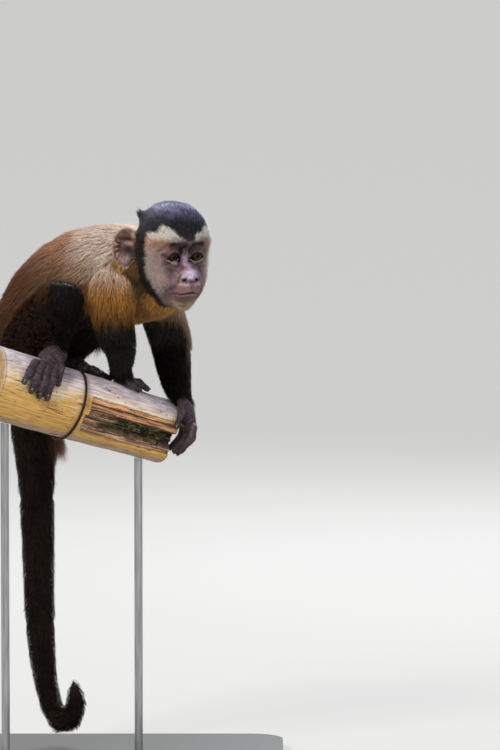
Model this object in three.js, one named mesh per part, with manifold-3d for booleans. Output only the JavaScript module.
// A young capuchin monkey squatting on a cut log, life size, on a plain display stand.
// Millimetres, +Z up. The animal faces +X and a little towards -Y; its left side is towards +Y.
// The origin is on the floor, under the middle of the stand's base.

import * as THREE from "three";
import Module from "manifold-3d";

const wasm = await Module();
wasm.setup();

// ---------------------------------------------------------------- driving dimensions

const GAP = 0.3; // clearance between neighbouring solids

// the stand
const BASE_LENGTH = 250;
const BASE_DEPTH = 180;
const BASE_THICK = 8;
const BASE_CORNER = 24;
const ROD_RADIUS = 3;
const ROD_PLACES = [-74, 20]; // X of the two rods under the log

// the log: its axis runs to +X, away to +Y and downhill
const LOG_MID = new THREE.Vector3(0, 0, 252.4);
const LOG_SLOPE = new THREE.Vector3(1, 0.565, -0.345); // change for each mm of X
const LOG_LEFT = -86;
const LOG_RIGHT = 38.5;
const LOG_RADIUS_LEFT = 26.4;
const LOG_RADIUS_RIGHT = 23.2;
const SPLIT_START = -14; // X where the broken-out face begins
const SPLIT_TOP = 20; // degrees above the horizontal on the near side
const SPLIT_BOTTOM = -50;
const SPLIT_FLOOR = 0.5; // how far from the axis the hollow's floor lies, of the radius
const WIRE_X = -30.5;
const WIRE_RADIUS = 1.1;

// the head's own frame: centre of the braincase, yaw from -Y towards +X, pitch down
const HEAD_CENTRE = new THREE.Vector3(45.7, -12, 378.2);
const HEAD_YAW = 25;
const HEAD_PITCH = 8;
const EYE_SIDE = 9.5; // eye centre from the midline
const EYE_FORWARD = 13.2;
const EYE_DROP = -5.4;
const EYE_RADIUS = 8;
const EAR_WIDTH = 21;
const EAR_HEIGHT = 30;

// the body's heading on the floor, and its left
const HEADING = new THREE.Vector3(0.857, -0.515, 0);
const LEFT = new THREE.Vector3(0.515, 0.857, 0);

// ---------------------------------------------------------------- small helpers

const radians = (degrees) => (degrees * Math.PI) / 180;
const vec = (x, y, z) => new THREE.Vector3(x, y, z);

// Closes a stack of rings, each a list of points, into one solid's geometry.
function closeRings(rings) {
  const sides = rings[0].length;
  const points = rings.flat();
  const middle = (ring) => ring.reduce((sum, p) => sum.add(p), vec(0, 0, 0)).divideScalar(sides);
  const first = points.push(middle(rings[0])) - 1;
  const last = points.push(middle(rings.at(-1))) - 1;
  const index = [];
  for (let r = 0; r < rings.length - 1; r++) {
    for (let s = 0; s < sides; s++) {
      const a = r * sides + s;
      const b = r * sides + ((s + 1) % sides);
      index.push(a, b, b + sides, a, b + sides, a + sides);
    }
  }
  const top = (rings.length - 1) * sides;
  for (let s = 0; s < sides; s++) {
    const next = (s + 1) % sides;
    index.push(first, next, s, last, top + s, top + next);
  }
  const geometry = new THREE.BufferGeometry().setFromPoints(points);
  geometry.setIndex(index);
  return geometry;
}

// Turns a closed geometry into a solid for joining and cutting.
function solid(geometry) {
  const place = geometry.getAttribute("position");
  let tris = Uint32Array.from(geometry.index.array);
  const make = () =>
    new wasm.Manifold(
      new wasm.Mesh({ numProp: 3, vertProperties: Float32Array.from(place.array), triVerts: tris }),
    );
  let made = make();
  if (made.volume() < 0) {
    tris = tris.map((_, i) => tris[i - (i % 3) + [0, 2, 1][i % 3]]);
    made = make();
  }
  return made;
}

// One solid, as the geometry of a mesh.
function geometryOf(made) {
  const { vertProperties, triVerts } = made.getMesh();
  const geometry = new THREE.BufferGeometry();
  geometry.setAttribute("position", new THREE.BufferAttribute(vertProperties, 3));
  geometry.setIndex(new THREE.BufferAttribute(triVerts, 1));
  return geometry;
}

// The largest single piece of a solid, without crumbs left by a cut.
function largest(made) {
  const pieces = made.decompose();
  return pieces.reduce((best, piece) => (piece.volume() > best.volume() ? piece : best));
}

// how far round the end caps of a tube their rings lie, from the tip
const LONG_DOME = [20, 55].map(radians);
const SHORT_DOME = [40].map(radians);

// A rounded tube through stations [x, y, z, half width, half depth]. The width lies along `across`.
function limb(stations, { across = LEFT, sides = 10, steps = 2, dome = LONG_DOME, grow = 0 } = {}) {
  const path = new THREE.CatmullRomCurve3(stations.map(([x, y, z]) => vec(x, y, z)));
  const sizes = stations.map(([, , , w, h = w]) => vec(w + grow, h + grow, 0));
  const size = new THREE.CatmullRomCurve3(sizes);
  const count = (stations.length - 1) * steps;
  const ringAt = (t, shrink, shift) => {
    const along = path.getTangent(t);
    const wide = across.clone().addScaledVector(along, -across.dot(along)).normalize();
    const deep = wide.clone().cross(along);
    const half = size.getPoint(t);
    const centre = path.getPoint(t).addScaledVector(along, shift * Math.min(half.x, half.y));
    return Array.from({ length: sides }, (_, s) => {
      const turn = (2 * Math.PI * s) / sides;
      return centre
        .clone()
        .addScaledVector(wide, half.x * shrink * Math.cos(turn))
        .addScaledVector(deep, half.y * shrink * Math.sin(turn));
    });
  };
  const rings = [
    ...dome.map((a) => ringAt(0, Math.sin(a), -0.8 * Math.cos(a))),
    ...Array.from({ length: count + 1 }, (_, i) => ringAt(i / count, 1, 0)),
    ...dome.map((a) => ringAt(1, Math.sin(a), 0.8 * Math.cos(a))).reverse(),
  ];
  return solid(closeRings(rings));
}

// ---------------------------------------------------------------- the head

const FACE = vec(
  Math.sin(radians(HEAD_YAW)) * Math.cos(radians(HEAD_PITCH)),
  -Math.cos(radians(HEAD_YAW)) * Math.cos(radians(HEAD_PITCH)),
  -Math.sin(radians(HEAD_PITCH)),
);
const HEAD_LEFT = vec(Math.cos(radians(HEAD_YAW)), Math.sin(radians(HEAD_YAW)), 0);
const HEAD_UP = FACE.clone().cross(HEAD_LEFT);

// A point of the head, from its distances to the animal's left, forward and up.
function onHead(left, forward, up) {
  return HEAD_CENTRE.clone()
    .addScaledVector(HEAD_LEFT, left)
    .addScaledVector(FACE, forward)
    .addScaledVector(HEAD_UP, up);
}

// Levels of the head from the crown down: height, half width, front, back.
const SKULL = [
  [29, 5, 4, -9],
  [27.6, 12, 11, -16.5],
  [24.5, 16, 16, -22],
  [19, 20.4, 20.5, -27],
  [12, 24.2, 23.5, -30.5],
  [3, 26.8, 24.6, -31],
  [-5, 27.2, 19.5, -29],
  [-14, 26.5, 19.5, -24],
  [-23, 25, 20.5, -17],
  [-31, 21.5, 22, -11],
  [-38, 16.5, 22.5, -5],
  [-44, 9.5, 20, 3],
];
const MUZZLE = [
  // forward, height, half width, half height
  [8, -19, 17, 16],
  [17, -21.5, 15.5, 14.5],
  [23, -25.5, 13.2, 12.5],
  [26.5, -28.5, 10.5, 9.8],
];

const FACE_FLATNESS = 0.82; // 1 for a round front, less for a flatter one

// A cosine or sine raised to a power, with its sign kept.
const squared = (value, power) => Math.sign(value) * Math.abs(value) ** power;

// The braincase and cheeks as a stack of level egg-shaped rings.
function skull(grow) {
  const sides = 20;
  const steps = 1;
  const shape = new THREE.CatmullRomCurve3(SKULL.map(([up, wide, front]) => vec(up, wide, front)));
  const backs = new THREE.CatmullRomCurve3(SKULL.map(([up, , , back]) => vec(up, back, 0)));
  const count = (SKULL.length - 1) * steps;
  const rings = Array.from({ length: count + 1 }, (_, i) => {
    const { x: up, y: wide, z: front } = shape.getPoint(i / count);
    const back = backs.getPoint(i / count).y;
    const lift = grow * (1 - (2 * i) / count);
    const middle = 0.35 * front + 0.65 * back + 0.3 * (front - back);
    return Array.from({ length: sides }, (_, s) => {
      const turn = (2 * Math.PI * s) / sides;
      const reach = Math.sin(turn) > 0 ? front + grow - middle : middle - back + grow;
      const side = squared(Math.cos(turn), 0.9);
      const depth = squared(Math.sin(turn), Math.sin(turn) > 0 ? FACE_FLATNESS : 1);
      return onHead((wide + grow) * side, middle + reach * depth, up + lift);
    });
  });
  return solid(closeRings(rings));
}

// The muzzle, nose, brow and chin stand out from the face, and two small crests of hair from the crown.
function faceForms(grow) {
  const at = (left, forward, up, w, h) => [...onHead(left, forward, up).toArray(), w, h];
  const across = HEAD_LEFT;
  const muzzleStations = MUZZLE.map(([forward, up, w, h]) => at(0, forward, up, w, h));
  const muzzle = limb(muzzleStations, { across, sides: 12, steps: 1, grow });
  const nose = limb(
    [at(0, 19, -4, 4.2, 3.4), at(0, 23, -12, 5, 4), at(0, 26.5, -19.5, 7.2, 4)],
    { across, sides: 10, steps: 1, grow },
  );
  const browLine = [
    // sideways, forward, height, thickness
    [-19, 12, 3, 5],
    [-10, 20.2, 3.4, 4.2],
    [0, 22, 3, 4.2],
    [10, 20.2, 3.4, 4.2],
    [19, 12, 3, 5],
  ];
  const browStations = browLine.map(([left, forward, up, thick]) => at(left, forward, up, 5, thick));
  const brow = limb(browStations, { across: HEAD_UP, sides: 9, steps: 1, grow });
  const chin = limb([at(0, 12, -38, 12, 6.5), at(0, 20, -38.5, 9.5, 6.5)], { across, steps: 1, grow });
  const crests = [-1, 1].map((side) => {
    const root = at(side * 13, -17, 13, 7, 5);
    const middle = at(side * 16, -22, 16.5, 5, 4);
    const tip = at(side * 17.5, -25, 19.5, 2.4, 2);
    return limb([root, middle, tip], { across, sides: 7, steps: 1, grow });
  });
  return [nose, brow, chin, ...crests].reduce((made, form) => made.add(form), muzzle);
}

function eyeBall(side, grow) {
  const ball = new THREE.SphereGeometry(EYE_RADIUS + grow, 12, 8);
  const centre = onHead(side * EYE_SIDE, EYE_FORWARD, EYE_DROP);
  ball.rotateX(Math.PI / 2);
  return solid(weld(ball.translate(centre.x, centre.y, centre.z)));
}

// Joins the doubled points of a stock geometry, keeping only positions.
function weld(geometry) {
  const place = geometry.getAttribute("position");
  const seen = new Map();
  const points = [];
  const map = Array.from({ length: place.count }, (_, i) => {
    const p = vec().fromBufferAttribute(place, i);
    const key = p.toArray().map((v) => Math.round(v * 1e4)).join();
    if (!seen.has(key)) seen.set(key, points.push(p) - 1);
    return seen.get(key);
  });
  const index = [];
  const order = geometry.index ? Array.from(geometry.index.array) : [...map.keys()];
  for (let i = 0; i < order.length; i += 3) {
    const [a, b, c] = order.slice(i, i + 3).map((v) => map[v]);
    if (a !== b && b !== c && c !== a) index.push(a, b, c);
  }
  const welded = new THREE.BufferGeometry().setFromPoints(points);
  welded.setIndex(index);
  return welded;
}

function head(grow = 0) {
  return skull(grow).add(faceForms(grow));
}

// A rounded leaf, dished on its outer face. It stands out from the side of the head, facing forward.
function ear(side, forwardness, out) {
  const leaf = new THREE.SphereGeometry(1, 14, 8).scale(EAR_WIDTH / 2, 3.4, EAR_HEIGHT / 2);
  const dish = new THREE.SphereGeometry(1, 10, 6).scale(EAR_WIDTH / 2 - 2.6, 4, EAR_HEIGHT / 2 - 3.4);
  const whole = solid(weld(leaf)).subtract(solid(weld(dish.translate(0.8, -3.6, 0.6))));
  const turn = new THREE.Matrix4().makeBasis(
    HEAD_LEFT.clone().multiplyScalar(-side * forwardness).addScaledVector(FACE, 1).normalize(),
    HEAD_LEFT.clone().multiplyScalar(-side).addScaledVector(FACE, -forwardness).normalize(),
    HEAD_UP,
  );
  const centre = onHead(side * out, -8.5, -4.5);
  turn.setPosition(centre);
  const placed = geometryOf(whole).applyMatrix4(turn);
  return solid(placed);
}

// ---------------------------------------------------------------- the log and the stand

// A point of the log's axis at a given X.
const logAxis = (x) => LOG_MID.clone().addScaledVector(LOG_SLOPE, x);
const logRadius = (x) =>
  THREE.MathUtils.mapLinear(x, LOG_LEFT, LOG_RIGHT, LOG_RADIUS_LEFT, LOG_RADIUS_RIGHT);
const LOG_ALONG = LOG_SLOPE.clone().normalize();
const LOG_NEAR = vec(LOG_SLOPE.y, -LOG_SLOPE.x, 0).normalize();
const LOG_OVER = LOG_NEAR.clone().cross(LOG_ALONG);

// A point beside the log's axis: X of the axis point, distance from it, degrees above the near side.
function aroundLog(x, distance, degrees) {
  return logAxis(x)
    .addScaledVector(LOG_NEAR, distance * Math.cos(radians(degrees)))
    .addScaledVector(LOG_OVER, distance * Math.sin(radians(degrees)));
}

function logRound(grow = 0, sides = 24) {
  const places = [LOG_LEFT, -60, WIRE_X, 8, LOG_RIGHT];
  const rings = places.map((x) =>
    Array.from({ length: sides }, (_, s) => aroundLog(x, logRadius(x) + grow, (360 * s) / sides)),
  );
  return solid(closeRings(rings));
}

// The log with the hollow where its near face has broken out and the pith has rotted.
function perchLog() {
  const hollow = [SPLIT_START, LOG_RIGHT + 4].map((x) => {
    const floor = SPLIT_FLOOR * logRadius(x);
    const mouth = logRadius(x) * 1.3;
    return [
      aroundLog(x, mouth, SPLIT_TOP + 4),
      aroundLog(x, floor, SPLIT_TOP + 14),
      aroundLog(x, floor * 0.8, (SPLIT_TOP + SPLIT_BOTTOM) / 2),
      aroundLog(x, floor, SPLIT_BOTTOM - 14),
      aroundLog(x, mouth, SPLIT_BOTTOM - 4),
    ];
  });
  return logRound().subtract(solid(closeRings(hollow)));
}

function wireRing(grow) {
  const bend = logRadius(WIRE_X) + WIRE_RADIUS + GAP + 0.1;
  const ring = new THREE.TorusGeometry(bend, WIRE_RADIUS + grow, 4, 22);
  const turn = new THREE.Matrix4().makeBasis(LOG_NEAR, LOG_OVER, LOG_NEAR.clone().cross(LOG_OVER));
  turn.setPosition(logAxis(WIRE_X));
  return solid(weld(ring.applyMatrix4(turn)));
}

// The twisted ends of the wire, bent flat on top of the log.
function wireKnot(grow) {
  const lift = WIRE_RADIUS * 1.5 + GAP + 0.1;
  const count = 8;
  const stations = Array.from({ length: count }, (_, i) => {
    const t = i / (count - 1);
    const x = WIRE_X - 3 - 9 * t;
    const wave = Math.sin(1.5 * Math.PI * t);
    const p = aroundLog(x, logRadius(x) + lift, 96 + 4 * wave);
    return [p.x, p.y, p.z, WIRE_RADIUS * 1.5, WIRE_RADIUS * 1.3];
  });
  return limb(stations, { across: LOG_NEAR, sides: 5, steps: 1, grow });
}

function standBase() {
  const outline = new THREE.Shape();
  const x = BASE_LENGTH / 2 - BASE_CORNER;
  const y = BASE_DEPTH / 2 - BASE_CORNER;
  outline.absarc(x, y, BASE_CORNER, 0, Math.PI / 2);
  outline.absarc(-x, y, BASE_CORNER, Math.PI / 2, Math.PI);
  outline.absarc(-x, -y, BASE_CORNER, Math.PI, 1.5 * Math.PI);
  outline.absarc(x, -y, BASE_CORNER, 1.5 * Math.PI, 2 * Math.PI);
  const plate = { depth: BASE_THICK, bevelEnabled: false, curveSegments: 4 };
  return solid(weld(new THREE.ExtrudeGeometry(outline, plate)));
}

function standRod(x) {
  const foot = logAxis(x);
  const length = foot.z - BASE_THICK - GAP;
  const rod = new THREE.CylinderGeometry(ROD_RADIUS, ROD_RADIUS, length, 12).rotateX(Math.PI / 2);
  rod.translate(foot.x, foot.y, BASE_THICK + GAP + length / 2);
  return solid(weld(rod)).subtract(logRound(GAP));
}

// ---------------------------------------------------------------- the body

const TRUNK = [
  [34, 5, 351, 27, 31],
  [16, 18, 353, 36, 38],
  [-14, 33, 350, 36, 39],
  [-42, 42, 331, 34, 38],
  [-58, 48, 296, 33, 34],
  [-57, 51, 262, 23, 24],
];
const NECK = [
  [18, 14, 356, 28, 30],
  [33, 0, 364, 26, 29],
  [44, -9, 370, 23, 26],
];
const TAIL = [
  [-57, 50, 258, 21, 22],
  [-56.5, 48, 231, 17.5],
  [-55.2, 46, 200, 14.2],
  [-54, 44, 154, 13],
  [-53.2, 43, 108, 12],
  [-51.6, 42, 77, 10.8],
  [-49.2, 41, 57, 9.6],
  [-45, 40, 37, 8.8],
  [-38.4, 37, 23, 9],
  [-29.5, 33, 25.5, 9],
  [-25.8, 30, 40, 8.2],
  [-27.6, 28, 53, 5.6],
  [-28.4, 27, 59, 2],
];
// where the tail is divided: stations it runs through, first and last
const TAIL_LENGTHS = { tail_base: [0, 2], tail_upper: [2, 4], tail_lower: [4, 7], tail_curl: [7, 12] };

const ARMS = {
  right: {
    upper: [
      [3, -4, 350, 20],
      [2, -22, 335, 18],
      [5, -40, 316, 14.5],
    ],
    fore: [
      [5, -42, 314, 14],
      [8, -30, 304, 12.6],
      [8.5, -16, 294, 10.4],
      [7.5, -3, 285.5, 8.6],
    ],
  },
  left: {
    upper: [
      [27, 38, 348, 21],
      [34.5, 48, 328, 18.5],
      [42.5, 57, 307, 16],
    ],
    fore: [
      [42.5, 58, 304, 16],
      [44.5, 45, 288, 14.2],
      [47, 32, 275, 12],
      [50, 21, 264, 9.6],
    ],
  },
};

const LEGS = {
  right: {
    thigh: [
      [-62, 28, 296, 25],
      [-50, -2, 318, 22],
      [-34, -36, 340, 17],
    ],
    shin: [
      [-31, -42, 341, 15.5],
      [-33, -28, 325, 13],
      [-38, -12, 307, 8.8],
    ],
  },
  left: {
    thigh: [
      [-48, 66, 294, 25],
      [-18, 74, 318, 22],
      [12, 76, 334, 17],
    ],
    shin: [
      [14, 76, 334, 15.5],
      [-8, 50, 314, 13],
      [-28, 24, 298, 9.4],
    ],
  },
};

const DIGIT_ACROSS = vec(0.6, 0.5, 0.62);

// A finger or toe: knuckle, middle and tip, thinning to the tip.
function digit(knuckle, middle, tip, thick, grow) {
  const stations = [
    [...knuckle, thick, thick * 0.9],
    [...middle, thick * 0.92, thick * 0.85],
    [...tip, thick * 0.7, thick * 0.66],
  ];
  return limb(stations, { across: DIGIT_ACROSS, sides: 6, steps: 1, dome: SHORT_DOME, grow });
}

// A hand or foot: a flat palm, then its digits.
function paw({ palm, across, digits, thick }, grow = 0) {
  const flat = limb(palm, { across, sides: 8, steps: 1, grow });
  const fingers = digits.map(([knuckle, middle, tip]) => digit(knuckle, middle, tip, thick, grow));
  return fingers.reduce((made, finger) => made.add(finger), flat);
}

// A place on the bark: X of the log's axis there, height of a digit's middle over the bark, turn.
const bark = (x, lift, turn) => aroundLog(x, logRadius(x) + lift, turn).toArray();

// A place over the cut end of the log: across it towards the near side, up it, out from it.
const overEnd = (near, over, out) =>
  logAxis(LOG_RIGHT)
    .addScaledVector(LOG_NEAR, near)
    .addScaledVector(LOG_OVER, over)
    .addScaledVector(LOG_ALONG, out)
    .toArray();

const PAWS = {
  // laid along the top of the log, fingers towards its cut end
  hand_right: {
    palm: [
      [6.5, -2, 284, 7.4, 6],
      [8.5, 3, 280.2, 9, 5.4],
      [11, 7, 277, 9.4, 4.2],
    ],
    across: LOG_NEAR,
    thick: 3.3,
    digits: [
      [bark(3, 4.2, 109), bark(10, 5.2, 110), bark(15, 2.8, 111)],
      [bark(4, 4.4, 98), bark(12, 5.4, 98.5), bark(17.5, 2.8, 99)],
      [bark(4, 4.4, 87), bark(12.5, 5.4, 86), bark(18, 2.8, 86)],
      [bark(3, 4.2, 76), bark(11, 5, 73.5), bark(16.5, 2.8, 73)],
      [bark(-2, 4.6, 72), bark(3, 4.4, 61), bark(8, 2.8, 57)],
    ],
  },
  // curled down over the cut end
  hand_left: {
    palm: [
      [50, 20, 263, 8.6, 6.4],
      [54.5, 15, 253, 10, 6],
      [56, 11, 245, 10.4, 4.8],
    ],
    across: LOG_NEAR,
    thick: 3.6,
    digits: [
      [overEnd(10, 10, 8), overEnd(10, 0, 9.5), overEnd(7, -10, 4.4)],
      [overEnd(17, 9.5, 8.5), overEnd(17, -2, 9.5), overEnd(14, -12, 4.4)],
      [overEnd(24, 9, 8.5), overEnd(24, -3, 9), overEnd(20, -13, 4.2)],
      [overEnd(29.5, 8, 6.5), overEnd(31, -1, 6.5), overEnd(27, -11, 3)],
      [bark(37, 5, 58), bark(36.5, 4.2, 32), bark(34, 3, 10)],
    ],
  },
  // heel on top, toes hooked down over the near side
  foot_right: {
    palm: [
      [-36, -2, 296, 6.6, 6.6],
      [-39, -15, 300, 7.6, 7.2],
      [-42.5, -30, 298.5, 9.4, 6],
      [-46.5, -42, 291.5, 10.6, 4.8],
    ],
    across: vec(0.84, -0.25, 0.3),
    thick: 3.7,
    digits: [
      [bark(-67.5, 4.4, 44), bark(-72, 5, 24), bark(-74, 2.8, 9)],
      [bark(-63, 4.8, 44), bark(-67, 5.4, 20), bark(-68, 2.9, -1)],
      [bark(-58.5, 4.8, 44), bark(-61.5, 5.4, 20), bark(-62, 2.9, -5)],
      [bark(-54, 4.6, 46), bark(-56, 5.2, 22), bark(-56.3, 2.9, -4)],
      [bark(-48.6, 6.6, 69), bark(-49.8, 5.6, 45), bark(-51, 3, 20)],
    ],
  },
  // flat on the far side of the top
  foot_left: {
    palm: [
      [-33, 26, 289, 8, 7],
      [-26, 19, 288.5, 8.6, 6.8],
      [-19, 12, 284.8, 9.6, 5.4],
      [-14, 8, 282.2, 10, 4.6],
    ],
    across: vec(0.5, 0.8, -0.2),
    thick: 3.5,
    digits: [
      [bark(-19, 4.6, 112), bark(-16.6, 5.2, 102.5), bark(-14, 2.8, 93)],
      [bark(-15.4, 4.7, 116), bark(-13, 5.3, 106), bark(-10.4, 2.8, 96.5)],
      [bark(-11.8, 4.7, 119.5), bark(-9.4, 5.3, 110), bark(-6.8, 2.8, 101.5)],
      [bark(-8.2, 4.6, 123), bark(-5.8, 5.2, 114.5), bark(-3.4, 2.8, 106)],
      [bark(-21.8, 7, 120.5), bark(-23.5, 5.6, 104), bark(-24.5, 3, 90)],
    ],
  },
};

const tailLength = ([first, last], grow = 0) =>
  limb(TAIL.slice(first, last + 1), { across: LEFT, sides: 12, steps: 1, grow });

// Every solid of the animal and its perch, in the order in which each gives way to those before it.
const SHAPES = {
  perch_log: (grow) => (grow ? logRound(grow) : perchLog()),
  perch_wire_ring: wireRing,
  perch_wire_knot: wireKnot,
  eye_right: (grow) => eyeBall(-1, grow),
  eye_left: (grow) => eyeBall(1, grow),
  head,
  trunk: (grow = 0) => limb(TRUNK, { sides: 14, grow }),
  neck: (grow = 0) => limb(NECK, { sides: 12, steps: 1, grow }),
  ear_right: () => ear(-1, 1.28, 32.5),
  ear_left: () => ear(1, 0.55, 28.5),
  thigh_right: (grow = 0) => limb(LEGS.right.thigh, { across: vec(0.86, 0.5, 0), grow }),
  thigh_left: (grow = 0) => limb(LEGS.left.thigh, { across: vec(0, 0.5, 0.86), grow }),
  upper_arm_right: (grow = 0) => limb(ARMS.right.upper, { across: HEADING, grow }),
  upper_arm_left: (grow = 0) => limb(ARMS.left.upper, { across: HEADING, grow }),
  shin_right: (grow = 0) => limb(LEGS.right.shin, { across: vec(1, 0, 0), grow }),
  shin_left: (grow = 0) => limb(LEGS.left.shin, { across: vec(0.7, -0.7, 0.2), grow }),
  forearm_right: (grow = 0) => limb(ARMS.right.fore, { across: vec(1, 0, 0), grow }),
  forearm_left: (grow = 0) => limb(ARMS.left.fore, { across: vec(1, 0, 0), grow }),
  foot_right: (grow = 0) => paw(PAWS.foot_right, grow),
  foot_left: (grow = 0) => paw(PAWS.foot_left, grow),
  hand_right: (grow = 0) => paw(PAWS.hand_right, grow),
  hand_left: (grow = 0) => paw(PAWS.hand_left, grow),
  tail_base: (grow = 0) => tailLength(TAIL_LENGTHS.tail_base, grow),
  tail_upper: (grow = 0) => tailLength(TAIL_LENGTHS.tail_upper, grow),
  tail_lower: (grow = 0) => tailLength(TAIL_LENGTHS.tail_lower, grow),
  tail_curl: (grow = 0) => tailLength(TAIL_LENGTHS.tail_curl, grow),
};

// Each shape, cut back with a small gap from every shape listed before it.
function fitTogether(shapes) {
  const fitted = {};
  const taken = [];
  for (const [name, shape] of Object.entries(shapes)) {
    const whole = taken.reduce((made, other) => made.subtract(other), shape(0));
    fitted[name] = largest(whole);
    taken.push(shape(GAP));
  }
  return fitted;
}

// ---------------------------------------------------------------- finishes and assembly

const FINISHES = {
  black_fur: { color: 0x1b1719, roughness: 0.8 },
  dark_fur: { color: 0x2b201c, roughness: 0.85 },
  gold_fur: { color: 0xb9863f, roughness: 0.85 },
  skin: { color: 0x6d4f49, roughness: 0.6 },
  eye: { color: 0x4a3520, roughness: 0.1 },
  bark: { color: 0xb5a27e, roughness: 0.9 },
  iron: { color: 0x33302e, roughness: 0.5, metalness: 1 },
  lacquer: { color: 0x202124, roughness: 0.4 },
};

const FINISH_OF = [
  [/^perch_log/, "bark"],
  [/^perch_wire/, "iron"],
  [/^stand/, "lacquer"],
  [/^eye/, "eye"],
  [/^ear/, "skin"],
  [/^(trunk|neck|upper_arm)/, "gold_fur"],
  [/^(tail|thigh)/, "dark_fur"],
  [/./, "black_fur"],
];

function meshOf(name, made) {
  const [, finish] = FINISH_OF.find(([pattern]) => pattern.test(name));
  const mesh = new THREE.Mesh(geometryOf(made), new THREE.MeshStandardMaterial(FINISHES[finish]));
  mesh.name = name;
  return mesh;
}

const model = new THREE.Group();
for (const [name, made] of Object.entries(fitTogether(SHAPES))) {
  model.add(meshOf(name, made));
}
model.add(meshOf("stand_base", standBase()));
ROD_PLACES.forEach((x, i) => model.add(meshOf(`stand_rod_${i + 1}`, standRod(x))));

export default model;
